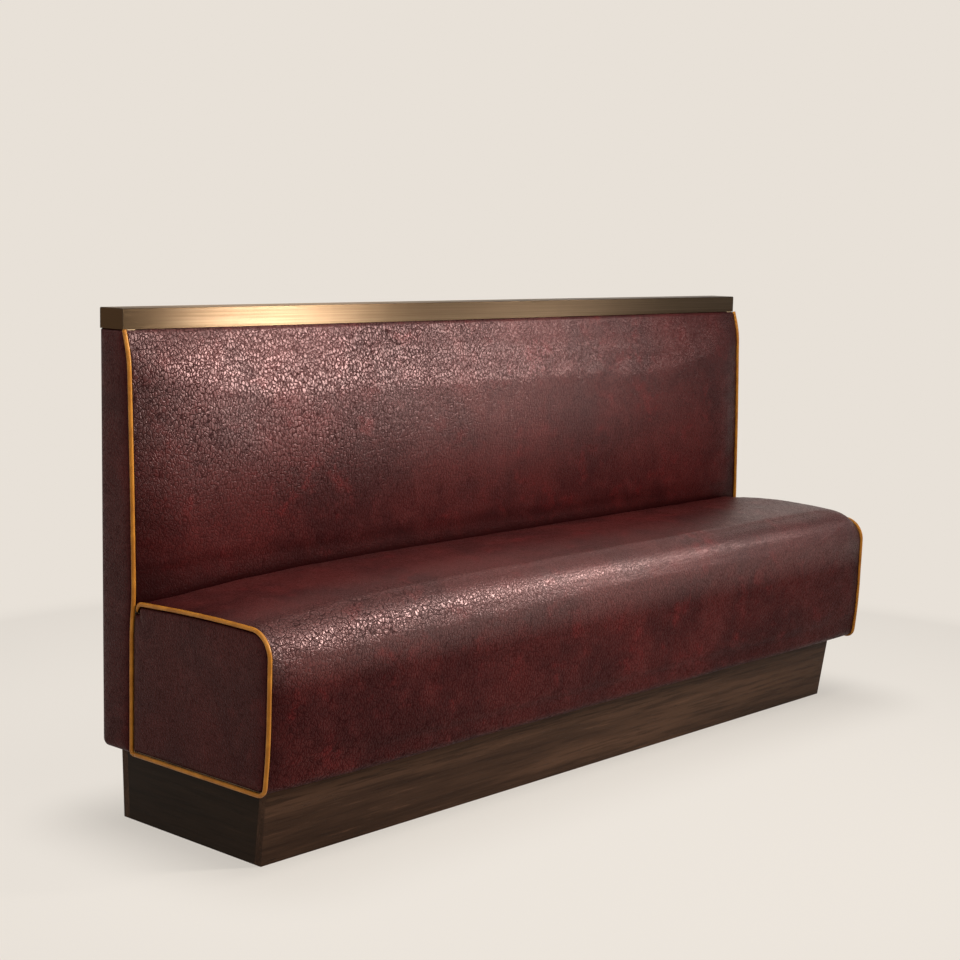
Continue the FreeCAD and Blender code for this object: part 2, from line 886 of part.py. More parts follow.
def webbing():
    """Bands of elastic webbing over the seat's front and rear boards."""
    depths = (seat_rear_depth + webbing_margin, front_board_depth - webbing_margin)
    heights = (deck_height, deck_height + webbing_thickness)
    places = spread(-frame_x, frame_x, webbing_count)
    return [board((x - webbing_width / 2, x + webbing_width / 2), depths, heights) for x in places]


# All nodes of the booth


def plinth_nodes():
    """The plinth and its levelling feet."""
    screws = plinth_screws()
    down = base_screws()
    nodes = {
        "plinth_front_board": plinth_long_board(plinth_front_depths),
        "plinth_rear_board": drilled(plinth_long_board(plinth_rear_depths), screws + wall_holes()),
        "plinth_cross_members": [drilled(member, screws + down) for member in cross_members()],
        "foot_blocks": [foot_block(x, depth) for x, depth in foot_places.values()],
    }
    for side in SIDES:
        nodes["plinth_end_board_" + side] = drilled(plinth_end_board(side), screws)
    for name, (x, depth) in foot_places.items():
        nodes["foot_pad_" + name] = foot_pad(x, depth)
        nodes["foot_stem_" + name] = foot_stem(x, depth)
    return nodes


def seat_nodes():
    """The seat unit."""
    inside = (-frame_x, frame_x)
    bolts = [unit_bolt(x, height) for x, height in bolt_places()]
    nuts = tee_nuts()
    end_joints = seat_end_screws()
    rib_joints = seat_rib_screws()
    rear_depths = (seat_rear_depth, seat_rear_depth + rear_board_thickness)
    front_heights = (base_height + board_inset, deck_height)
    front = board(inside, (front_board_rear, front_board_depth), front_heights)
    base = board(inside, (seat_rear_depth, front_board_rear), (base_height, rib_bottom))
    rear = board(inside, rear_depths, (rib_bottom, deck_height))
    nodes = {
        "seat_base_board": drilled(base, base_screws()),
        "seat_front_board": drilled(front, end_joints + rib_joints),
        "seat_rear_board": drilled(rear, bolts + nuts + end_joints),
        "seat_ribs": [drilled(rib, rib_joints) for rib in seat_ribs()],
        "seat_webbing": webbing(),
        "seat_foam": slice_between(loft(seat_foam_section, cover_x), cushion_x),
        "seat_cover": loft(seat_cover_section, cover_x),
    }
    foam_inner = end_foam_x - end_foam_thickness
    for side in SIDES:
        end_board = seat_end_plate(side, board_inset, frame_x, end_board_x)
        nodes["seat_end_board_" + side] = drilled(end_board, end_joints)
        nodes["seat_end_foam_" + side] = seat_end_plate(side, seam_inset, foam_inner, end_foam_x)
        nodes["seat_end_cover_" + side] = seat_end_plate(side, seam_inset, skin_x - leather, skin_x)
        nodes["seat_piping_" + side] = seat_piping(side)
    return nodes


def back_nodes():
    """The back unit."""
    inside = (-frame_x, frame_x)
    bolts = [unit_bolt(x, height) for x, height in bolt_places()]
    joints = back_end_screws()
    small = panel_screws()
    upward = cap_screws()
    rear_panel = board(inside, (0, rear_panel_thickness), (base_height, cap_bottom))
    front_top = tuck_height - leather - soft_gap
    front_panel = board(inside, (front_panel_rear, front_panel_face), (base_height, front_top))
    nodes = {
        "back_top_rail": drilled(back_rail(cap_bottom - rail_height), joints + small + upward),
        "back_bottom_rail": drilled(back_rail(base_height), joints + small),
        "back_studs": [drilled(stud, small) for stud in studs()],
        "back_rear_panel": drilled(rear_panel, small),
        "back_front_panel": drilled(front_panel, bolts),
        "back_battens": [drilled(batten, bolts) for batten in battens()],
        "back_foam": slice_between(loft(back_foam_section, cover_x), cushion_x),
        "back_cover": loft(back_cover_section, cover_x),
    }
    rear = leather + soft_gap
    foam_xs = (end_foam_x - end_foam_thickness, end_foam_x)
    for side in SIDES:
        end_board = back_end_plate(side, board_inset, rear, cap_bottom, frame_x, end_board_x)
        nodes["back_end_board_" + side] = drilled(end_board, joints)
        nodes["back_end_foam_" + side] = back_end_plate(side, seam_inset, rear, tuck_height, *foam_xs)
        nodes["back_end_cover_" + side] = back_end_cover(side)
        nodes["back_piping_" + side] = back_piping(side)
    return nodes


def cap_nodes():
    """The brass cap and its core."""
    nodes = {
        "cap_rail": cap_rail(),
        "cap_core": drilled(cap_core(), cap_screws()),
    }
    for side in SIDES:
        nodes["cap_end_" + side] = cap_end(side)
    return nodes


def fastener_nodes():
    """Fasteners, each kind as one group of separate solids."""
    places = bolt_places()
    return {
        "frame_screws": plinth_screws() + seat_rib_screws() + seat_end_screws() + back_end_screws(),
        "base_screws": base_screws(),
        "panel_screws": panel_screws(),
        "cap_screws": cap_screws(),
        "unit_bolts": [unit_bolt(x, height) for x, height in places],
        "unit_washers": [unit_washer(x, height) for x, height in places],
        "tee_nuts": tee_nuts(),
    }


def export(name, solid):
    """Writes a node's solid, or its group of separate solids, as a STEP file."""
    shape = Part.makeCompound(solid) if isinstance(solid, list) else solid
    shape.exportStep("parts/" + name + ".step")


def build():
    """Builds and writes every node."""
    os.makedirs("parts", exist_ok=True)
    for group in (plinth_nodes, seat_nodes, back_nodes, cap_nodes, fastener_nodes):
        for name, solid in group().items():
            export(name, solid)


build()
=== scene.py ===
import json
import math

import bmesh
import bpy
from mathutils import Matrix, Vector, noise


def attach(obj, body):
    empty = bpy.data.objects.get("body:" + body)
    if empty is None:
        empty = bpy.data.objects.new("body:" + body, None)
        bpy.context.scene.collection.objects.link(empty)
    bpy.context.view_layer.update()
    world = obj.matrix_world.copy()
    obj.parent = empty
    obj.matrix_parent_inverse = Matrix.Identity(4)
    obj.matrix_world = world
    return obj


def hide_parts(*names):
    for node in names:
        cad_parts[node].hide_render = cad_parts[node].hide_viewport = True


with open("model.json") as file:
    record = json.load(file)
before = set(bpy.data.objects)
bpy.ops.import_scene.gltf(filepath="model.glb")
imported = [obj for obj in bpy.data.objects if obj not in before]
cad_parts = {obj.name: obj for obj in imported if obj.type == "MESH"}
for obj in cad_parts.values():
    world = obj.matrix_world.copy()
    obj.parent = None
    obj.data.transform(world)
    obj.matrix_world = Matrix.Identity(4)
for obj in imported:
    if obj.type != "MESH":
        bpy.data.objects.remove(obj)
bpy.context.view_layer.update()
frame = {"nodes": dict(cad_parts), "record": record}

# A restaurant booth seat: leather seat and back with mustard piping, brass cap and walnut plinth.
# Metres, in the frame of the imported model. X runs along the bench, +Y is the wall side, +Z is up.
# A depth is a distance forward from the wall face. A height is a distance up from the floor.

SIDES = {"left": -1, "right": 1}
NODES = frame["nodes"]

# Sizes of the upholstery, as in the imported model
OVERALL_DEPTH = 0.504
BASE_HEIGHT = 0.158
CAP_BOTTOM = 0.978
PIPING_RADIUS = 0.005
PIPING_X = 1.0
COVER_X = 0.9947
SKIN_X = 1.001
SEAM_INSET = 0.0053
TUCK = (0.076, 0.9777)
SHOULDER = (0.091, 0.9277)
SHOULDER_CROWN = (0.017, -0.024)
WAIST = (0.098, 0.700)
WAIST_CROWN = 0.026
FOOT_DEPTH = 0.102
FOOT_CROWN = 0.020
BACK_BOTTOM = 0.438
BACK_RUN = 0.26
SEAM_FOOT = (0.102, 0.470)
SEAM_LOW = (0.0945, 0.400)
SEAM_BASE = (0.0925, 0.158)
PIPING_JOIN = 0.1045
SEAT_REAR = 0.1076
SEAT_HEIGHT = 0.457
SEAT_MIDDLE_RISE = 0.0075
SEAT_NOSE_RISE = 0.0035
SEAT_FRONT = 0.4975
SEAT_PUSH = 0.0065
BELLY = (0.494, 0.250)
LOWER_DEPTH = 0.484
NOSE_RUN = 0.05
REAR_CROWN = 0.033
MIDDLE_CROWN = 0.038
NOSE_CROWN = 0.026
SEAT_RUNS = (1.0, 0.13)
PUSH_RUN = 0.42
CROWN_POWER = 3.5
CREVICE = 0.0012
FLAP_DEPTH = 0.4483
PIPING_DROP = 0.016
CUSHION_X = 0.9729
BOARD_FRONT = 0.4668
BACK_FRAME = 0.0644
DECK = 0.3785
BACK_EDGE = (0.064, 0.9772)
TUCK_FOLD = (0.0012, 0.9775)
PANEL_TOP = 0.9765
PANEL_LIP = (0.0005, 0.9768)
SHOULDER_RUN = 0.028
WAIST_RUN = 0.060
SEAM_RUN = 0.028
SEAT_REAR_RADIUS = 0.014
SEAT_MIDDLE_RUN = 0.286
BELLY_RUN = 0.050
LOWER_RADIUS = 0.020
FLAP_GAP = 0.0014
EDGE_GAP = 0.0006
JOINT_GAP = 0.0003
CAP_GAP = 0.0004
LEATHER = 0.0013

# Unevenness of the leather: soft hollows all over, and puckers beside the end seams
HOLLOW_SIZE = 0.21
HOLLOW_DEPTH = 0.0014
HOLLOW_FADE = 0.08
PUCKER_SIZE = 0.017
PUCKER_DEPTH = 0.0006
PUCKER_REACH = 0.026

# How finely the leather is divided, and how it settles
BACK_POINTS = 84
SEAT_POINTS = 118
STATION_STEP = 0.008
CLOTH_FRAMES = 16
CLOTH_CAP = 0.0035
EVENING_PASSES = 14

# The cord: how much thinner it shows than its solid, and how it is divided
PIPING_TRIM = 0.0008
PIPING_STEP = 0.005
PIPING_SIDES = 18
PIPING_TIP = 0.35

# Rings of a padded end: distance from its edge, and rise over the seam's plane. The long bend at the
# seat end's rear shrinks away over its reach, because the side above it gets shorter from ring to ring.
END_LEVELS = (
    (0.0, -0.0085), (0.0, -0.0060), (0.0008, -0.0034), (0.0022, -0.0016), (0.0042, -0.0001), (0.007, 0.0010),
    (0.011, 0.0018), (0.016, 0.0024), (0.023, 0.0028), (0.032, 0.0030), (0.034, 0.00301), (0.036, 0.00301),
)
END_CAP_FADE = 0.012
END_LEAST_RADIUS = 0.0006
END_LEAST_SIDE = 0.003
END_BEND_REACH = 0.03


def y_at(depth):
    """Y of the plane at a depth."""
    return OVERALL_DEPTH / 2 - depth


# Outlines of depth and height pairs


def turn_at(before, corner, after):
    """Unit directions back and on from a corner, and half the angle by which the path turns there."""
    back = (Vector(before) - Vector(corner)).normalized()
    on = (Vector(after) - Vector(corner)).normalized()
    return back, on, (math.pi - back.angle(on)) / 2


def radius_for(before, corner, after, run):
    """The radius whose arc starts a given run before the corner."""
    return run / math.tan(turn_at(before, corner, after)[2])


def corner_arc(before, corner, after, radius, count):
    """Points of the arc that rounds a corner."""
    back, on, turn = turn_at(before, corner, after)
    corner = Vector(corner)
    if radius <= 0 or turn < 1e-4:
        return [corner] * (count + 1)
    centre = corner + (back + on).normalized() * (radius / math.cos(turn))
    start = corner + back * (radius * math.tan(turn)) - centre
    end = corner + on * (radius * math.tan(turn)) - centre
    angle = 2 * turn
    points = []
    for step in range(count + 1):
        share = step / count
        first = math.sin((1 - share) * angle) / math.sin(angle)
        second = math.sin(share * angle) / math.sin(angle)
        points.append(centre + start * first + end * second)
    return points


def soft_points(points, radii, arc_steps=10):
    """Points along an open outline of straight runs and tangent arcs."""
    result = [Vector(points[0])]
    for index, radius in enumerate(radii):
        result += corner_arc(points[index], points[index + 1], points[index + 2], radius, arc_steps)
    return result + [Vector(points[-1])]


def resample(points, count):
    """The same path as equally spaced points."""
    lengths = [0.0]
    for first, second in zip(points, points[1:]):
        lengths.append(lengths[-1] + (second - first).length)
    result = []
    index = 0
    for step in range(count):
        wanted = lengths[-1] * step / (count - 1)
        while index < len(points) - 2 and lengths[index + 1] < wanted:
            index += 1
        run = lengths[index + 1] - lengths[index]
        share = (wanted - lengths[index]) / run if run else 0
        result.append(points[index].lerp(points[index + 1], min(max(share, 0), 1)))
    return result


def inset(points, distance, closed=False):
    """An outline moved to its right, which is inwards on these outlines."""
    count = len(points)
    normals = []
    for index in range(count if closed else count - 1):
        run = Vector(points[(index + 1) % count]) - Vector(points[index])
        normals.append(Vector((run.y, -run.x)).normalized())
    moved = []
    for index in range(count):
        first = normals[index - 1] if closed or index else normals[0]
        second = normals[index] if index < len(normals) else normals[-1]
        moved.append(Vector(points[index]) + (first + second) * (distance / (1 + first.dot(second))))
    return moved


def on_line(first, second, height):
    """The point at a height on the line through two points."""
    share = (height - first[1]) / (second[1] - first[1])
    return Vector((first[0] + (second[0] - first[0]) * share, height))


def crown_share(x, run_left, run_right):
    """How full a pad is at an X value: 0 at the end seams and 1 beyond the runs given."""
    left = 1 - max(0, 1 - (x + COVER_X) / run_left) ** CROWN_POWER
    right = 1 - max(0, 1 - (COVER_X - x) / run_right) ** CROWN_POWER
    return left * right


def back_line(share):
    """The backrest's front from the cap to its lower edge."""
    return [
        TUCK,
        (SHOULDER[0] + SHOULDER_CROWN[0] * share, SHOULDER[1] + SHOULDER_CROWN[1] * share),
        (WAIST[0] + WAIST_CROWN * share, WAIST[1]),
        (FOOT_DEPTH + FOOT_CROWN * share, BACK_BOTTOM),
    ]


def back_section(x):
    """Points down the backrest's leather at an X value, starting under the cap."""
    share = crown_share(x, BACK_RUN, BACK_RUN)
    points = back_line(share)
    points = [BACK_EDGE, (points[0][0] + TUCK_FOLD[0], TUCK_FOLD[1])] + points[1:]
    radii = [
        0.004,
        radius_for(*points[1:4], SHOULDER_RUN),
        radius_for(*points[2:5], WAIST_RUN),
    ]
    return resample(soft_points(points, radii), BACK_POINTS)


def seat_line(rear, rise, push):
    """The seat's top and front, from its rear edge to its lower front corner."""
    nose_height = SEAT_HEIGHT + SEAT_NOSE_RISE + NOSE_CROWN * rise
    slope = (SEAT_FRONT - BELLY[0]) / (nose_height - NOSE_RUN - BELLY[1])
    return [
        (rear, SEAT_HEIGHT + REAR_CROWN * rise),
        ((rear + SEAT_FRONT + push) / 2, SEAT_HEIGHT + SEAT_MIDDLE_RISE + MIDDLE_CROWN * rise),
        (SEAT_FRONT + push + NOSE_RUN * slope, nose_height),
        (BELLY[0] + push, BELLY[1]),
        (LOWER_DEPTH + push, BASE_HEIGHT),
    ]


def seat_radii(points):
    """Corner radii of the seat's outline."""
    return [
        SEAT_REAR_RADIUS,
        radius_for(*points[1:4], SEAT_MIDDLE_RUN * (SEAT_FRONT - points[1][0])),
        radius_for(*points[2:5], NOSE_RUN),
        radius_for(*points[3:6], BELLY_RUN),
        LOWER_RADIUS,
    ]


def seat_section(x):
    """Points over the seat's leather at an X value, from its rear edge to the flap underneath."""
    rear = FOOT_DEPTH + FOOT_CROWN * crown_share(x, BACK_RUN, BACK_RUN) + CREVICE
    rise = crown_share(x, *SEAT_RUNS)
    push = SEAT_PUSH * crown_share(x, PUSH_RUN, PUSH_RUN)
    points = [(rear, SEAT_HEIGHT - PIPING_DROP)] + seat_line(rear, rise, push) + [(FLAP_DEPTH, BASE_HEIGHT)]
    return resample(soft_points(points, seat_radii(points)), SEAT_POINTS)


def seat_inside(section):
    """The seat pad's side on the frame, from its lower front flap to its rear edge."""
    return [
        (FLAP_DEPTH, BASE_HEIGHT + FLAP_GAP),
        (BOARD_FRONT, BASE_HEIGHT + FLAP_GAP),
        (BOARD_FRONT, DECK),
        (section[0].x + EDGE_GAP, DECK),
        (section[0].x + EDGE_GAP, section[0].y),
    ]


def back_inside(section):
    """The back pad's side on the panel, from its lower edge to under the cap."""
    last = section[-1]
    return [
        (last.x - EDGE_GAP, last.y),
        (BACK_FRAME, last.y),
        (BACK_FRAME, PANEL_TOP),
        (BACK_FRAME + PANEL_LIP[0], PANEL_LIP[1]),
    ]


def seat_seam():
    """Corners and radii of the seam around the seat's end."""
    rear = SEAT_REAR + PIPING_RADIUS
    foot = (PIPING_JOIN + JOINT_GAP, BASE_HEIGHT)
    points = [(rear, SEAT_HEIGHT - PIPING_DROP)] + seat_line(rear, 0, 0) + [foot]
    return points, seat_radii(points)


def back_seam():
    """Corners and radii of the seam down the front edge of the back unit's end."""
    points = [TUCK, SHOULDER, WAIST, SEAM_FOOT, SEAM_LOW, SEAM_BASE]
    runs = (SHOULDER_RUN, WAIST_RUN, SEAM_RUN, SEAM_RUN)
    return points, [radius_for(*points[index:index + 3], run) for index, run in enumerate(runs)]


# Meshes


def make_mesh(name, vertices, faces, material, smooth=True, closed=False):
    """A mesh object with one material. A closed mesh gets its faces turned outwards."""
    mesh = bpy.data.meshes.new(name)
    mesh.from_pydata([tuple(v) for v in vertices], [], faces)
    mesh.validate()
    mesh.update()
    if closed:
        editable = bmesh.new()
        editable.from_mesh(mesh)
        bmesh.ops.recalc_face_normals(editable, faces=editable.faces)
        editable.to_mesh(mesh)
        editable.free()
    if material:
        mesh.materials.append(material)
    for polygon in mesh.polygons:
        polygon.use_smooth = smooth
    made = bpy.data.objects.new(name, mesh)
    bpy.context.scene.collection.objects.link(made)
    return made


def grid_faces(rows, columns, wrap=False):
    """Quads of a grid of vertices, row after row."""
    faces = []
    for row in range(rows - 1):
        for column in range(columns if wrap else columns - 1):
            after = (column + 1) % columns
            start, following = row * columns, (row + 1) * columns
            faces.append((start + column, start + after, following + after, following + column))
    return faces


def dress(piece, slot, *replaced, body="booth", fill=None):
    """A piece rides on a body and stands for CAD nodes. Its slot is not used."""
    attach(piece, body)
    if replaced:
        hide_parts(*replaced)
    return piece


def pad_stations():
    """X values of a pad's sections: close together at both ends, with one at each end of its cushion."""
    near = [0.0, 0.0015, 0.004, 0.008, 0.014]
    count = int(2 * CUSHION_X / STATION_STEP)
    inner = [CUSHION_X * (2 * index / count - 1) for index in range(count + 1)]
    return [value - COVER_X for value in near] + inner + [COVER_X - value for value in reversed(near)]


def fbm(point, size, octaves=3):
    """Soft random value around zero at a point, for features of a size."""
    return noise.fractal(point / size, 1.0, 2.0, octaves, noise_basis="PERLIN_ORIGINAL")


def sheet_points(section_at, seed):
    """Rows of points of a leather sheet over a crowned form.

    It has soft hollows all over and puckers beside its end seams.
    """
    rows = []
    for x in pad_stations():
        to_end = COVER_X - abs(x)
        section = section_at(x)
        last = len(section) - 1
        row = []
        for column, point in enumerate(section):
            along = (section[min(column + 1, last)] - section[max(column - 1, 0)]).normalized()
            normal = Vector((-along.y, along.x))
            place = Vector((x + seed, point.x, point.y))
            from_edge = min(column, last - column) / last
            fade = min(1, to_end / HOLLOW_FADE) * min(1, from_edge / 0.06)
            soft = fbm(place, HOLLOW_SIZE) * HOLLOW_DEPTH * fade
            near = math.exp(-to_end / PUCKER_REACH) * min(1, to_end / 0.004) * min(1, from_edge / 0.03)
            pucker = fbm(Vector((seed, point.x, point.y)), PUCKER_SIZE, 2) * PUCKER_DEPTH * near
            outward = point + normal * (soft + pucker)
            row.append(Vector((x, y_at(outward.x), outward.y)))
        rows.append(row)
    return rows


def settle(rows, cap):
    """Lets a sheet settle as cloth under pressure from its padding, held at its edges.

    No point moves further than the cap. The moves are evened out along the bench, as the hide is
    stretched that way.
    """
    columns = len(rows[0])
    start = [point for row in rows for point in row]
    sheet = make_mesh("settling", start, grid_faces(len(rows), columns), None)
    held = [
        index for index in range(len(start))
        if index % columns < 3 or index % columns > columns - 14
        or index < 2 * columns or index >= len(start) - 2 * columns
    ]
    sheet.vertex_groups.new(name="seams").add(held, 1.0, "REPLACE")
    cloth = sheet.modifiers.new("Cloth", "CLOTH")
    settings = cloth.settings
    settings.quality = 3
    settings.mass = 0.3
    settings.tension_stiffness = 30
    settings.compression_stiffness = 30
    settings.shear_stiffness = 20
    settings.bending_stiffness = 6
    settings.air_damping = 6
    settings.use_pressure = True
    settings.uniform_pressure_force = 4.0
    settings.shrink_min = -0.004
    settings.vertex_group_mass = "seams"
    settings.effector_weights.gravity = 0
    cloth.collision_settings.use_collision = False
    cloth.point_cache.frame_start = 1
    cloth.point_cache.frame_end = CLOTH_FRAMES
    scene = bpy.context.scene
    for number in range(1, CLOTH_FRAMES + 1):
        scene.frame_set(number)
    settled = sheet.evaluated_get(bpy.context.evaluated_depsgraph_get()).data
    moves = []
    for vertex, first in zip(settled.vertices, start):
        move = vertex.co - first
        moves.append(move * min(1, cap / max(move.length, 1e-9)))
    scene.frame_set(1)
    bpy.data.objects.remove(sheet)
    for _ in range(EVENING_PASSES):
        moves = [
            (moves[max(index - columns, index % columns)] + move * 2
             + moves[min(index + columns, len(moves) - columns + index % columns)]) / 4
            for index, move in enumerate(moves)
        ]
    return [
        [point + moves[row * columns + column] for column, point in enumerate(line)]
        for row, line in enumerate(rows)
    ]


def pad(name, section_at, inside_at, material, seed, cap):
    """A closed leather pad: a crowned sheet settled as cloth, and the side that lies on the frame."""
    rows = sheet_points(section_at, seed)
    rows = settle(rows, cap)
    columns = len(rows[0])
    inner_rows = []
    for number, row in enumerate(rows):
        x = row[0].x
        section = [Vector((OVERALL_DEPTH / 2 - point.y, point.z)) for point in row]
        shell = inset(section, LEATHER)[::-1]
        block = resample([Vector(point) for point in inside_at(section)], columns)
        if abs(abs(x) - CUSHION_X) < 1e-6:
            choices = [shell, block] if x < 0 else [block, shell]
        else:
            choices = [shell] if abs(x) > CUSHION_X else [block]
        for choice in choices:
            inner_rows.append((number, [Vector((x, y_at(point.x), point.y)) for point in choice]))
    base = len(rows) * columns
    vertices = [point for row in rows for point in row] + [point for _, row in inner_rows for point in row]
    faces = grid_faces(len(rows), columns)
    faces += [tuple(base + index for index in quad) for quad in grid_faces(len(inner_rows), columns)]
    for index in range(len(inner_rows) - 1):
        first, second = inner_rows[index][0], inner_rows[index + 1][0]
        for outer, inner in ((columns - 1, 0), (0, columns - 1)):
            start = first * columns + outer
            inside = base + index * columns + inner
            face = [start, inside, inside + columns]
            faces.append(tuple(face if first == second else face + [second * columns + outer]))
    for outer, inner in ((0, base), (base - columns, len(vertices) - columns)):
        for step in range(columns - 1):
            last = inner + columns - 1 - step
            faces.append((outer + step, outer + step + 1, last - 1, last))
    return make_mesh(name, vertices, faces, material, closed=True)


def tube(name, points, radii, x, material, taper=0):
    """A leather-wrapped cord along a seam in the plane of an X value, a little uneven.

    It starts thin and is full after the steps given as taper.
    """
    path = soft_points(points, radii, 14)
    length = sum((b - a).length for a, b in zip(path, path[1:]))
    path = resample(path, int(length / PIPING_STEP))
    vertices = []
    for index, point in enumerate(path):
        before = path[max(index - 1, 0)]
        after = path[min(index + 1, len(path) - 1)]
        along = (after - before).normalized()
        across = Vector((-along.y, along.x))
        full = min(PIPING_TIP + (1 - PIPING_TIP) * index / taper, 1.0) if taper else 1.0
        for step in range(PIPING_SIDES):
            angle = 2 * math.pi * step / PIPING_SIDES
            place = Vector((x * 3, point.x, point.y))
            swell = 1 + 0.03 * fbm(place, 0.03, 2) + 0.012 * fbm(place + Vector((step, 0, 0)), 0.006, 2)
            radius = (PIPING_RADIUS - PIPING_TRIM) * swell * full
            flat = point + across * (math.cos(angle) * radius)
            vertices.append(Vector((x + math.sin(angle) * radius, y_at(flat.x), flat.y)))
    faces = grid_faces(len(path), PIPING_SIDES, wrap=True)
    faces.append(tuple(range(PIPING_SIDES)))
    faces.append(tuple(range(len(vertices) - PIPING_SIDES, len(vertices))))
    return make_mesh(name, vertices, faces, material, closed=True)


def closed_soft(points, radii, arc_steps, line_steps):
    """Points round a closed outline: every corner an arc and every side divided alike."""
    count = len(points)
    arcs = []
    for index in range(count):
        after = points[(index + 1) % count]
        arcs.append(corner_arc(points[index - 1], points[index], after, radii[index], arc_steps))
    result = []
    for index in range(count):
        arc = arcs[index]
        following = arcs[(index + 1) % count]
        result += arc
        for step in range(1, line_steps):
            result.append(arc[-1].lerp(following[0], step / line_steps))
    return result


def end_pad(name, side, points, radii, bends, top_open, material):
    """A padded leather end: rings from beside the piping up to a softly level middle.

    A bend says how fast a corner's radius shrinks from ring to ring. An end with an open top fades
    out under the cap. On the others the last side keeps a least length.
    """
    sign = SIDES[side]
    rings = []
    for distance, rise in END_LEVELS:
        ring_radii = [max(radius - bend * distance, END_LEAST_RADIUS) for radius, bend in zip(radii, bends)]
        outline = inset(points, distance, True)
        if outline[-1].y - outline[-2].y < END_LEAST_SIDE and not top_open:
            outline[-2] = on_line(outline[-3], outline[-2], outline[-1].y - END_LEAST_SIDE)
        ring = closed_soft(outline, ring_radii, 8, 14)
        level = []
        for point in ring:
            lift = rise
            if top_open:
                edge = (CAP_BOTTOM - JOINT_GAP - point.y) / END_CAP_FADE
                point = Vector((point.x, min(point.y, CAP_BOTTOM - CAP_GAP)))
                lift = rise if edge > 1 or rise < 0 else rise * max(edge, 0)
            level.append(Vector((sign * (SKIN_X + lift), y_at(point.x), point.y)))
        rings.append(level)
    count = len(rings[0])
    vertices = [vertex for ring in rings for vertex in ring]
    faces = grid_faces(len(rings), count, wrap=True)
    faces.append(tuple(range(count)))
    faces.append(tuple(range(len(vertices) - count, len(vertices))))
    return make_mesh(name, vertices, faces, material, closed=True)


# Materials


class Shader:
    """A node material with a Principled shader, and short calls for the nodes that it uses."""

    def __init__(self, name):
        self.material = bpy.data.materials.new(name)
        self.material.use_nodes = True
        self.tree = self.material.node_tree
        self.tree.nodes.clear()
        output = self.add("ShaderNodeOutputMaterial")
        self.bsdf = self.add("ShaderNodeBsdfPrincipled")
        self.tree.links.new(self.bsdf.outputs["BSDF"], output.inputs["Surface"])
        self.place = self.add("ShaderNodeTexCoord").outputs["Object"]
        self.parts = self.add("ShaderNodeSeparateXYZ")
        self.feed(self.parts.inputs[0], self.place)

    def add(self, kind, **settings):
        node = self.tree.nodes.new(kind)
        for key, value in settings.items():
            setattr(node, key, value)
        return node

    def feed(self, socket, value):
        if isinstance(value, bpy.types.NodeSocket):
            self.tree.links.new(value, socket)
        else:
            socket.default_value = value

    def math(self, operation, first, second=0.0, clamp=False):
        node = self.add("ShaderNodeMath", operation=operation, use_clamp=clamp)
        self.feed(node.inputs[0], first)
        self.feed(node.inputs[1], second)
        return node.outputs[0]

    def stretched(self, scale=(1, 1, 1), turn=(0, 0, 0), source=None):
        node = self.add("ShaderNodeMapping", vector_type="POINT")
        self.feed(node.inputs["Vector"], source or self.place)
        self.feed(node.inputs["Rotation"], turn)
        self.feed(node.inputs["Scale"], scale)
        return node.outputs[0]

    def noise(self, size, detail=2.0, roughness=0.5, distortion=0.0, source=None):
        node = self.add("ShaderNodeTexNoise")
        self.feed(node.inputs["Vector"], source or self.place)
        self.feed(node.inputs["Scale"], 1 / size)
        self.feed(node.inputs["Detail"], detail)
        self.feed(node.inputs["Roughness"], roughness)
        self.feed(node.inputs["Distortion"], distortion)
        return node.outputs["Fac"]

    def wobbled(self, size, amount):
        """Coordinates pushed about by noise, so that cells and grain aren't straight."""
        node = self.add("ShaderNodeTexNoise")
        self.feed(node.inputs["Vector"], self.place)
        self.feed(node.inputs["Scale"], 1 / size)
        self.feed(node.inputs["Detail"], 2.0)
        push = self.add("ShaderNodeVectorMath", operation="MULTIPLY_ADD")
        self.feed(push.inputs[0], node.outputs["Color"])
        push.inputs[1].default_value = (amount, amount, amount)
        self.feed(push.inputs[2], self.place)
        return push.outputs[0]

    def cells(self, size, source=None):
        """Distance to the edges of random cells."""
        node = self.add("ShaderNodeTexVoronoi", feature="DISTANCE_TO_EDGE")
        self.feed(node.inputs["Vector"], source or self.place)
        self.feed(node.inputs["Scale"], 1 / size)
        self.feed(node.inputs["Randomness"], 1.0)
        return node.outputs["Distance"]

    def ridges(self, size, detail, source=None):
        """Thin crooked lines, 1 on the line and 0 beside it."""
        off = self.math("ABSOLUTE", self.math("SUBTRACT", self.noise(size, detail, 0.5, 0.3, source), 0.5))
        return self.fade(off, 0.0, 0.055, 1.0, 0.0)

    def fade(self, value, low, high, to_low=0.0, to_high=1.0):
        node = self.add("ShaderNodeMapRange", interpolation_type="SMOOTHSTEP")
        for socket, wanted in zip(node.inputs, (value, low, high, to_low, to_high)):
            self.feed(socket, wanted)
        return node.outputs[0]

    def blend(self, factor, first, second):
        node = self.add("ShaderNodeMix", data_type="RGBA", blend_type="MIX")
        self.feed(node.inputs[0], factor)
        for socket, value in ((node.inputs[6], first), (node.inputs[7], second)):
            self.feed(socket, (*value, 1.0) if isinstance(value, tuple) and len(value) == 3 else value)
        return node.outputs[2]

    def relief(self, height, distance, strength=1.0, below=None):
        node = self.add("ShaderNodeBump")
        self.feed(node.inputs["Height"], height)
        self.feed(node.inputs["Distance"], distance)
        self.feed(node.inputs["Strength"], strength)
        if below is not None:
            self.feed(node.inputs["Normal"], below)
        return node.outputs["Normal"]

    def finish(self, colour, roughness, normal=None, **fixed):
        self.feed(self.bsdf.inputs["Base Color"], colour)
        self.feed(self.bsdf.inputs["Roughness"], roughness)
        if normal is not None:
            self.feed(self.bsdf.inputs["Normal"], normal)
        for key, value in fixed.items():
            self.bsdf.inputs[key.replace("_", " ")].default_value = value
        return self.material


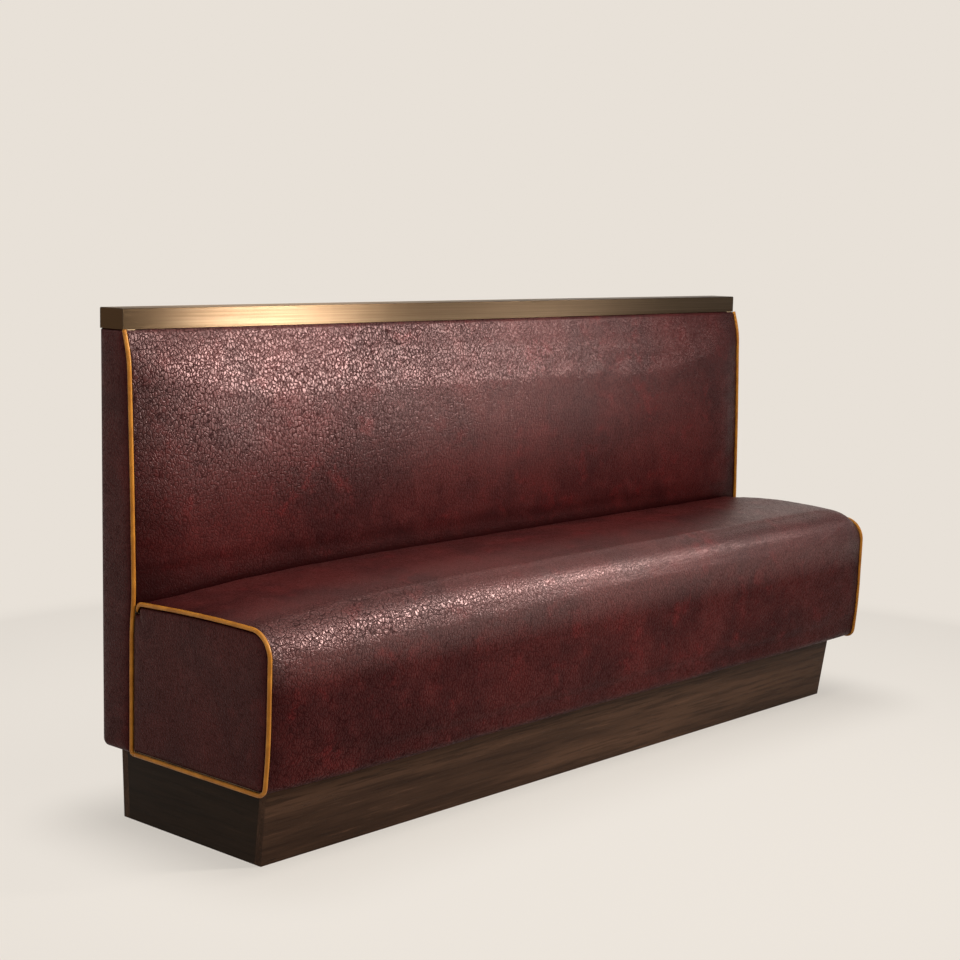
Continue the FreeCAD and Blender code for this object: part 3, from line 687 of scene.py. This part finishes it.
def leather(name, tones, grain, depth, shine, grain_mask, polish_and_shade_mask, crackle_mask=None):
    """Burgundy hide.

    Wrinkled pebbles where the grain's mask is full, finer and smoother elsewhere. Glossier where it
    is polished. Painted shade darkens its colour along its seams and creases and where its mask says.
    """
    dark, middle, red = tones
    shader = Shader(name)
    x, y, z = shader.parts.outputs
    warp = shader.wobbled(0.016, 0.006)
    slanted = shader.stretched((1.0, 1.0, 0.66), (0, -0.75, 0), warp)
    where = grain_mask(shader, x, y, z)
    edge = shader.cells(grain, source=slanted)
    domes = shader.math("MULTIPLY", shader.fade(edge, 0.0, 0.5), 0.3)
    pebbles = shader.math("ADD", shader.fade(edge, 0.0, 0.16), domes)
    small = shader.fade(shader.cells(grain * 0.8, source=warp), 0.0, 0.3)
    folds = shader.ridges(0.0085, 3.0, warp)
    pores = shader.noise(0.0016, 3.0, 0.6)
    height = shader.math("MULTIPLY", pebbles, where)
    small = shader.math("MULTIPLY", small, shader.fade(where, 0.0, 1.0, 0.6, 0.2))
    height = shader.math("ADD", height, small)
    folded = shader.math("MULTIPLY", folds, shader.fade(where, 0.0, 1.0, 0.5, 0.8))
    height = shader.math("SUBTRACT", height, folded)
    cracks = shader.math("MULTIPLY", shader.fade(edge, 0.0, 0.12, 1.0, 0.0), where)
    cracks = shader.math("MAXIMUM", cracks, shader.math("MULTIPLY", folds, 0.5))
    if crackle_mask:
        crackled = crackle_mask(shader, x, y, z)
        split = shader.cells(0.0115, source=shader.wobbled(0.03, 0.007))
        plates = shader.math("MULTIPLY", shader.fade(split, 0.0, 0.12), shader.math("MULTIPLY", crackled, 1.3))
        height = shader.math("ADD", height, plates)
        split = shader.math("MULTIPLY", shader.fade(split, 0.0, 0.09, 1.0, 0.0), crackled)
        cracks = shader.math("MAXIMUM", cracks, split)
    below = shader.relief(pores, 0.00003, 1.0)
    normal = shader.relief(height, depth, 1.0, below)
    cloud = shader.noise(0.20, 4.0, 0.6, 0.4)
    mottle = shader.noise(0.034, 5.0, 0.62)
    base = shader.blend(shader.fade(cloud, 0.36, 0.66), dark, middle)
    patches = shader.fade(shader.noise(0.085, 4.0, 0.62, 0.6), 0.48, 0.72)
    base = shader.blend(shader.math("MULTIPLY", patches, shader.fade(mottle, 0.4, 0.62)), base, red)
    worn = shader.math("MULTIPLY", shader.fade(mottle, 0.46, 0.72), 0.3)
    base = shader.blend(worn, base, tuple(value * 1.5 + 0.006 for value in middle))
    base = shader.blend(shader.math("MULTIPLY", cracks, 0.85), base, tuple(value * 0.15 for value in dark))
    scratched = shader.stretched((26.0, 26.0, 330.0), (0.25, 0.5, 0.3))
    lines = shader.fade(shader.noise(1.0, 3.0, 0.7, 0.8, scratched), 0.64, 0.76)
    pale = tuple(value * 2.4 + 0.012 for value in middle)
    base = shader.blend(shader.math("MULTIPLY", lines, 0.16), base, pale)
    rough = shader.fade(mottle, 0.3, 0.7, 0.40, 0.34)
    rough = shader.math("ADD", rough, shader.math("MULTIPLY", cracks, 0.3))
    # Painted shade: the mask's shade and the ambient occlusion below darken the base colour at the ends, the
    # foot, the rear and in seams and creases. The occlusion also dims the gloss there.
    polish, shade = polish_and_shade_mask(shader, x, y, z)
    seam = shader.add("ShaderNodeAmbientOcclusion", samples=6)
    shader.feed(seam.inputs["Distance"], 0.022)
    seam = shader.fade(seam.outputs["AO"], 0.35, 0.95)
    shade = shader.math("MULTIPLY", shade, seam)
    base = shader.blend(shade, tuple(value * 0.4 for value in dark), base)
    whole = shader.fade(cracks, 0.0, 0.8, shine, shine * 0.2)
    polish = shader.math("MULTIPLY", shader.math("MULTIPLY", polish, seam), whole)
    shader.feed(shader.bsdf.inputs["Specular IOR Level"], polish)
    return shader.finish(base, rough, normal, Specular_IOR_Level=shine, Specular_Tint=(1.0, 0.62, 0.58, 1.0))


def back_mask(shader, x, y, z):
    """Wrinkled grain is strongest at the upper left of the backrest."""
    across = shader.fade(x, -0.85, 0.75, 1.0, 0.35)
    up = shader.fade(z, 0.45, 0.82, 0.65, 1.0)
    patch = shader.fade(shader.noise(0.3, 2.0), 0.3, 0.6, 0.7, 1.0)
    return shader.math("MULTIPLY", shader.math("MULTIPLY", across, up), patch)


def back_polish_and_shade(shader, x, y, z):
    """Shine, and colour left: the upper half is polished. The ends and the foot are painted darker, as shade.
    """
    up = shader.fade(z, 0.55, 0.86, 0.12, 1.0)
    polish = shader.math("MULTIPLY", up, shader.fade(x, 0.0, 0.9, 1.0, 0.3))
    ends = shader.fade(shader.math("ABSOLUTE", x), 0.90, 0.985, 1.0, 0.45)
    foot = shader.fade(z, 0.46, 0.56, 0.22, 1.0)
    return polish, shader.math("MULTIPLY", ends, foot)


def seat_polish_and_shade(shader, x, y, z):
    """The nose is polished by use. The front below it and the rear by the backrest are duller. Painted shade
    darkens the colour near the ends and at the rear by the backrest.
    """
    up = shader.fade(z, 0.34, 0.43, 0.12, 1.5)
    polish = shader.math("MULTIPLY", up, shader.fade(y, -0.04, -0.17, 0.25, 1.0))
    polish = shader.math("MULTIPLY", polish, shader.fade(x, -0.3, 0.6, 1.0, 0.7))
    ends = shader.fade(shader.math("ABSOLUTE", x), 0.95, 0.99, 1.0, 0.6)
    rear = shader.fade(y, 0.11, 0.05, 0.8, 1.0)
    return polish, shader.math("MULTIPLY", ends, rear)


def end_polish_and_shade(shader, x, y, z):
    """A low shine, lower still towards the floor. Painted shade darkens the colour a little below 0.1 m."""
    return shader.fade(z, 0.1, 0.4, 0.5, 0.8), shader.fade(z, 0.0, 0.1, 0.9, 1.0)


def seat_mask(shader, x, y, z):
    """Grain on the seat is fine, and a little stronger towards the nose."""
    across = shader.fade(x, -1.0, 0.6, 0.65, 0.45)
    return shader.math("MULTIPLY", across, shader.fade(y, -0.05, -0.22, 0.3, 1.0))


def nose_mask(shader, x, y, z):
    """Crackled plates on the seat's nose near the left end."""
    across = shader.fade(x, -0.85, 0.1, 1.0, 0.0)
    up = shader.math("MULTIPLY", shader.fade(z, 0.39, 0.43), shader.fade(y, -0.13, -0.19))
    return shader.math("MULTIPLY", across, up)


def even_mask(shader, x, y, z):
    """The same light grain all over."""
    return shader.fade(shader.noise(0.2, 2.0), 0.3, 0.7, 0.15, 0.4)


def piping_leather():
    """Mustard leather wrapped on a cord."""
    shader = Shader("piping_leather")
    fine = shader.noise(0.0022, 4.0, 0.6)
    worn = shader.noise(0.035, 4.0, 0.6)
    base = shader.blend(shader.fade(worn, 0.35, 0.65), (0.31, 0.108, 0.010), (0.43, 0.165, 0.018))
    base = shader.blend(shader.math("MULTIPLY", shader.fade(fine, 0.52, 0.7), 0.3), base, (0.22, 0.075, 0.007))
    normal = shader.relief(shader.math("ADD", fine, shader.cells(0.0035)), 0.0004, 0.5)
    rough = shader.fade(worn, 0.3, 0.7, 0.42, 0.32)
    return shader.finish(base, rough, normal, Specular_IOR_Level=0.35, Specular_Tint=(1.0, 0.8, 0.5, 1.0))


def brushed_brass(name, bright, dull, roughness, around="X"):
    """Brass brushed round an axis, with long streaks and a few darker ones, and a painted dim reflection that
    darkens the left end.
    """
    shader = Shader(name)
    fine = shader.noise(1.0, 3.0, 0.7, 0.0, shader.stretched((3.0, 1400.0, 1400.0)))
    broad = shader.noise(1.0, 3.0, 0.6, 0.0, shader.stretched((1.2, 260.0, 260.0)))
    stain = shader.noise(0.16, 4.0, 0.6)
    mixed = shader.math("ADD", shader.math("MULTIPLY", fine, 0.5), shader.math("MULTIPLY", broad, 0.5))
    base = shader.blend(shader.fade(mixed, 0.38, 0.62), dull, bright)
    base = shader.blend(shader.math("MULTIPLY", shader.fade(stain, 0.5, 0.75), 0.35), base, dull)
    # Painted reflection: the colour darkens towards the left end, as if it reflected less light there.
    left = shader.fade(shader.parts.outputs[0], -0.98, -0.80)
    base = shader.blend(left, tuple(value * 0.8 for value in dull), base)
    normal = shader.relief(mixed, 0.0002, 0.5)
    rough = shader.fade(mixed, 0.3, 0.7, roughness + 0.03, roughness - 0.03)
    tangent = shader.add("ShaderNodeTangent", direction_type="RADIAL", axis=around)
    shader.feed(shader.bsdf.inputs["Tangent"], tangent.outputs[0])
    return shader.finish(base, rough, normal, Metallic=1.0, Anisotropic=1.0)


def wood(name, dark, light, along, roughness=0.42, figure=0.05):
    """Timber with its grain along one axis: long figure, streaks, fine fibres and short dark pores."""
    shader = Shader(name)
    fine = {"x": (2.2, 60.0, 60.0), "y": (60.0, 2.2, 60.0), "z": (60.0, 60.0, 2.2)}[along]

    def along_grain(times):
        return shader.stretched(tuple(value * times for value in fine))

    long_way = shader.stretched(tuple(value / 6 for value in fine), source=shader.wobbled(0.4, figure))
    bands = shader.noise(1.0, 5.0, 0.62, 0.9, long_way)
    fibres = shader.noise(1.0, 4.0, 0.7, 0.1, along_grain(9))
    pores = shader.fade(shader.noise(1.0, 2.0, 0.5, 0.0, along_grain(14)), 0.6, 0.72)
    streaks = shader.noise(1.0, 4.0, 0.65, 0.3, along_grain(2.4))
    base = shader.blend(shader.fade(bands, 0.33, 0.68), dark, light)
    base = shader.blend(shader.fade(streaks, 0.46, 0.66, 0.0, 0.6), base, tuple(value * 0.5 for value in dark))
    base = shader.blend(shader.fade(streaks, 0.40, 0.28, 0.0, 0.5), base, tuple(value * 1.5 for value in light))
    base = shader.blend(shader.math("MULTIPLY", fibres, 0.35), base, tuple(value * 0.55 for value in dark))
    base = shader.blend(shader.math("MULTIPLY", pores, 0.6), base, tuple(value * 0.25 for value in dark))
    height = shader.math("SUBTRACT", shader.math("MULTIPLY", fibres, 0.6), pores)
    normal = shader.relief(height, 0.0003, 0.5)
    rough = shader.fade(fibres, 0.3, 0.7, roughness + 0.08, roughness - 0.05)
    return shader.finish(base, rough, normal, Specular_IOR_Level=0.07, Specular_Tint=(1.0, 0.75, 0.55, 1.0))


def plain(name, colour, shade, size, roughness, metallic=0.0, relief=0.0002):
    """A small-part finish: two tones in soft noise, with fine relief."""
    shader = Shader(name)
    fine = shader.noise(size, 4.0, 0.6)
    broad = shader.noise(size * 12, 3.0, 0.5)
    base = shader.blend(shader.fade(broad, 0.35, 0.65), colour, shade)
    normal = shader.relief(fine, relief, 0.5)
    rough = shader.fade(fine, 0.3, 0.7, roughness - 0.06, roughness + 0.06)
    return shader.finish(base, rough, normal, Metallic=metallic)


OXBLOOD = ((0.030, 0.0044, 0.0044), (0.057, 0.0086, 0.0078), (0.078, 0.0064, 0.0064))
END_TONES = ((0.034, 0.0062, 0.006), (0.052, 0.0100, 0.0090), (0.064, 0.009, 0.008))
back_leather = leather("back_leather", OXBLOOD, 0.0074, 0.00038, 0.66, back_mask, back_polish_and_shade)
seat_leather = leather("seat_leather", OXBLOOD, 0.0070, 0.00038, 0.66, seat_mask, seat_polish_and_shade, nose_mask)
end_leather = leather("end_leather", END_TONES, 0.0064, 0.00050, 0.16, even_mask, end_polish_and_shade)
mustard = piping_leather()
brass = brushed_brass("brushed_brass", (0.115, 0.077, 0.046), (0.080, 0.050, 0.027), 0.34)
# The cap's end plates get their own, lighter copy of the brass: painted light for faces that the lamps light
# less.
dark_brass = brushed_brass("dark_brass", (0.15, 0.086, 0.042), (0.095, 0.052, 0.025), 0.5, "Z")
walnut_x = wood("walnut_front", (0.030, 0.0145, 0.0084), (0.090, 0.045, 0.026), "x")
# The plinth's end boards get a darker copy of the walnut: painted shade.
painted_shade_walnut = wood("walnut_end_painted_shade", (0.010, 0.0058, 0.0034), (0.023, 0.013, 0.008), "y")
ply = wood("plywood", (0.42, 0.29, 0.17), (0.58, 0.43, 0.27), "x", 0.6)
pine = wood("timber", (0.45, 0.30, 0.16), (0.62, 0.46, 0.28), "x", 0.6)
steel = plain("zinc_steel", (0.55, 0.55, 0.56), (0.42, 0.42, 0.43), 0.001, 0.35, 1.0)
nylon = plain("nylon", (0.02, 0.02, 0.02), (0.035, 0.035, 0.035), 0.0008, 0.5)
elastic = plain("elastic_webbing", (0.1, 0.085, 0.07), (0.16, 0.14, 0.12), 0.0015, 0.85, 0.0, 0.0006)

FINISHES = {
    "brass": brass, "dark_brass": dark_brass, "walnut": walnut_x, "plywood": ply, "timber": pine,
    "webbing": elastic, "steel": steel, "nylon": nylon, "leather": end_leather, "piping": mustard,
    "foam": elastic,
}
for part in frame["record"]["subparts"]:
    node = NODES[part["node"]]
    finish = FINISHES.get(part["material_slot"], ply)
    # Painted shade: the plinth's ends take the darker walnut.
    if part["node"].startswith("plinth_end"):
        finish = painted_shade_walnut
    for material_slot in node.material_slots:
        material_slot.material = finish


# Seat and back pads

seat_pad = pad("seat_pad", seat_section, seat_inside, seat_leather, 3.0, CLOTH_CAP)
back_pad = pad("back_pad", back_section, back_inside, back_leather, 11.0, CLOTH_CAP)
dress(seat_pad, "leather", "seat_cover", "seat_foam", fill=0.85)
dress(back_pad, "leather", "back_cover", "back_foam", fill=0.85)

# Ends and piping

for side, sign in SIDES.items():
    seam, radii = seat_seam()
    welt = tube("seat_welt_" + side, seam, radii, sign * PIPING_X, mustard, 3)
    dress(welt, "piping", "seat_piping_" + side)

    inner = inset(seam, SEAM_INSET)
    step = seam[0][1] - PIPING_RADIUS - JOINT_GAP
    back_points, back_radii = back_seam()
    rear = inset(back_points, -PIPING_RADIUS - EDGE_GAP)
    rear_foot = on_line(rear[-2], rear[-1], inner[-1].y)
    rear_top = on_line(rear[-3], rear[-2], step)
    corners = [Vector((inner[0].x, step))] + inner[1:-1] + [rear_foot, rear[-2], rear_top]
    corner_radii = [0.004] + [value - SEAM_INSET for value in radii] + [0.004, back_radii[-1], 0.003]
    bends = [0] + [1] * (len(corners) - 3) + [back_radii[-1] / END_BEND_REACH, 1]
    piece = end_pad("seat_end_pad_" + side, side, corners, corner_radii, bends, False, end_leather)
    dress(piece, "leather", "seat_end_cover_" + side, "seat_end_foam_" + side, fill=0.7)

    start = on_line(back_points[1], back_points[0], TUCK[1] - 0.0002)
    points = [start] + back_points[1:] + [(PIPING_JOIN, BASE_HEIGHT)]
    welt = tube("back_welt_" + side, points, back_radii + [0.006], sign * PIPING_X, mustard)
    dress(welt, "piping", "back_piping_" + side)

    inner = inset(back_points, SEAM_INSET)
    top = CAP_BOTTOM - CAP_GAP
    corners = [on_line(inner[0], inner[1], top)] + inner[1:] + [Vector((0.0, BASE_HEIGHT)), Vector((0.0, top))]
    corners[-3] = on_line(inner[-2], inner[-1], BASE_HEIGHT)
    corner_radii = [0.002] + [value - SEAM_INSET for value in back_radii] + [0.003, 0.015, 0.002]
    bends = [1, 1, 1, 1, -1, 1, 1, 1]
    piece = end_pad("back_end_pad_" + side, side, corners, corner_radii, bends, True, end_leather)
    dress(piece, "leather", "back_end_cover_" + side, "back_end_foam_" + side, fill=0.7)


# Floor, light and camera

BACKGROUND = (0.807, 0.752, 0.686)
NEAR_GLOW = (0.86, 0.803, 0.733)
# Painted shade: within the reach given of the bench's footprint, given by its half sizes, the floor mixes in a
# smaller share of glow, which paints it darker there. The object's own shadow on the floor is real.
FLOOR_CORE = (0.93, 0.2)
FLOOR_NEAR = 0.30
FLOOR_FAR = (1.1, 2.2)
GLOW_SHARES = (0.60, 0.90)
AMBIENT = 0.15
BACKDROP_EDGE = (-0.15, 0.30)
FLOOR_COLOUR = (0.45, 0.42, 0.382, 1.0)
FLOOR_HALF = 14.0
LENS = 68.98
CAMERA_PLACE = (-3.11062, -2.66826, 1.17044)
CAMERA_TURN = (0.830777, 0.132895, 0.0203298)


def stage_floor():
    """A pale floor that keeps the object's shadow and runs into the background. Around the bench's footprint it
    is painted darker, as shade.
    """
    shader = Shader("floor")
    tree = shader.tree
    lit = shader.bsdf
    shader.finish(FLOOR_COLOUR, 0.9, Specular_IOR_Level=0.1)
    glow = shader.add("ShaderNodeEmission")
    rays = shader.add("ShaderNodeLightPath")
    seen = shader.math("ADD", rays.outputs["Is Camera Ray"], rays.outputs["Is Transmission Ray"], True)
    seen = shader.math("ADD", seen, rays.outputs["Is Glossy Ray"], True)
    distance = shader.add("ShaderNodeVectorMath", operation="LENGTH")
    shader.feed(distance.inputs[0], shader.place)
    away = shader.fade(distance.outputs["Value"], *FLOOR_FAR)
    shader.feed(glow.inputs["Color"], shader.blend(away, NEAR_GLOW, BACKGROUND))
    x, y, z = shader.parts.outputs
    squares = []
    for place, half in zip((x, y), FLOOR_CORE):
        past = shader.math("MAXIMUM", shader.math("SUBTRACT", shader.math("ABSOLUTE", place), half), 0.0)
        squares.append(shader.math("MULTIPLY", past, past))
    near = shader.math("SQRT", shader.math("ADD", *squares))
    # Painted shade: a smaller glow share near the footprint darkens the floor there.
    share = shader.fade(near, 0.0, FLOOR_NEAR, *GLOW_SHARES)
    far = shader.math("MAXIMUM", share, away)
    mixed = shader.add("ShaderNodeMixShader")
    shader.feed(mixed.inputs[0], shader.math("MULTIPLY", far, seen))
    tree.links.new(lit.outputs[0], mixed.inputs[1])
    tree.links.new(glow.outputs[0], mixed.inputs[2])
    output = next(node for node in tree.nodes if node.type == "OUTPUT_MATERIAL")
    tree.links.new(mixed.outputs[0], output.inputs["Surface"])
    signs = ((-1, -1), (1, -1), (1, 1), (-1, 1))
    corners = [(across * FLOOR_HALF, along * FLOOR_HALF, 0) for across, along in signs]
    floor = make_mesh("floor", corners, [(0, 1, 2, 3)], shader.material, False)


def world_light():
    """A pale backdrop behind the bench for what the camera and gloss see, and a lower ambient light."""
    world = bpy.data.worlds.new("studio")
    bpy.context.scene.world = world
    world.use_nodes = True
    tree = world.node_tree
    tree.nodes.clear()

    def maths(operation, first, second, clamp=False):
        node = tree.nodes.new("ShaderNodeMath")
        node.operation = operation
        node.use_clamp = clamp
        tree.links.new(first, node.inputs[0])
        tree.links.new(second, node.inputs[1])
        return node.outputs[0]

    output = tree.nodes.new("ShaderNodeOutputWorld")
    shown = tree.nodes.new("ShaderNodeBackground")
    shown.inputs["Color"].default_value = (*BACKGROUND, 1.0)
    ambient = tree.nodes.new("ShaderNodeBackground")
    ambient.inputs["Color"].default_value = (0.95, 0.97, 1.0, 1.0)
    ambient.inputs["Strength"].default_value = AMBIENT
    toward = tree.nodes.new("ShaderNodeSeparateXYZ")
    tree.links.new(tree.nodes.new("ShaderNodeTexCoord").outputs["Generated"], toward.inputs[0])
    behind = tree.nodes.new("ShaderNodeMapRange")
    behind.interpolation_type = "SMOOTHSTEP"
    behind.inputs["From Min"].default_value, behind.inputs["From Max"].default_value = BACKDROP_EDGE
    tree.links.new(toward.outputs["Y"], behind.inputs["Value"])
    rays = tree.nodes.new("ShaderNodeLightPath").outputs
    in_gloss = maths("MULTIPLY", rays["Is Glossy Ray"], behind.outputs["Result"])
    seen = maths("ADD", rays["Is Camera Ray"], in_gloss, True)
    seen = maths("ADD", seen, rays["Is Transmission Ray"], True)
    mixed = tree.nodes.new("ShaderNodeMixShader")
    tree.links.new(seen, mixed.inputs[0])
    tree.links.new(ambient.outputs[0], mixed.inputs[1])
    tree.links.new(shown.outputs[0], mixed.inputs[2])
    tree.links.new(mixed.outputs[0], output.inputs["Surface"])


def soft_lamp(name, place, target, size, power, spread=180):
    """A rectangular area lamp aimed at a point. The spread is how wide it shines, in degrees."""
    lamp = bpy.data.lights.new(name, "AREA")
    lamp.shape = "RECTANGLE"
    lamp.size, lamp.size_y = size
    lamp.energy = power
    lamp.color = (1.0, 0.97, 0.93)
    lamp.spread = math.radians(spread)
    made = bpy.data.objects.new(name, lamp)
    bpy.context.scene.collection.objects.link(made)
    made.location = place
    made.rotation_euler = (Vector(target) - Vector(place)).to_track_quat("-Z", "Y").to_euler()


def camera():
    """The camera of the photograph."""
    data = bpy.data.cameras.new("camera")
    data.sensor_width = 36.0
    data.lens = LENS
    made = bpy.data.objects.new("camera", data)
    bpy.context.scene.collection.objects.link(made)
    yaw, pitch, roll = CAMERA_TURN
    forward = Vector((math.sin(yaw) * math.cos(pitch), math.cos(yaw) * math.cos(pitch), -math.sin(pitch)))
    right = Vector((math.cos(yaw), -math.sin(yaw), 0))
    up = right.cross(forward)
    rolled_right = right * math.cos(roll) + up * math.sin(roll)
    rolled_up = up * math.cos(roll) - right * math.sin(roll)
    turned = Matrix((rolled_right, rolled_up, -forward)).transposed().to_4x4()
    made.matrix_world = Matrix.Translation(CAMERA_PLACE) @ turned
    bpy.context.scene.camera = made


stage_floor()
world_light()
soft_lamp("key", (1.76, -2.3, 2.12), (-1.6, 0.0, 0.85), (0.34, 0.8), 32, spread=84)
soft_lamp("low", (1.5, -2.3, 1.42), (-1.5, 0.0, 0.6), (0.3, 0.4), 9, spread=90)
soft_lamp("strip", (3.25, -2.35, 2.0), (0.0, 0.0, 0.7), (0.6, 0.6), 5, spread=74)
soft_lamp("side", (-3.0, -0.6, 1.6), (-1.0, 0.0, 0.5), (1.2, 1.2), 25)
soft_lamp("overhead", (-0.4, -0.9, 2.9), (-0.2, -0.15, 0.45), (1.6, 0.8), 48)
soft_lamp("fill", (-1.2, -3.8, 2.6), (-0.2, 0.0, 0.4), (2.6, 1.8), 15)
camera()
bpy.context.scene.view_settings.view_transform = "Standard"
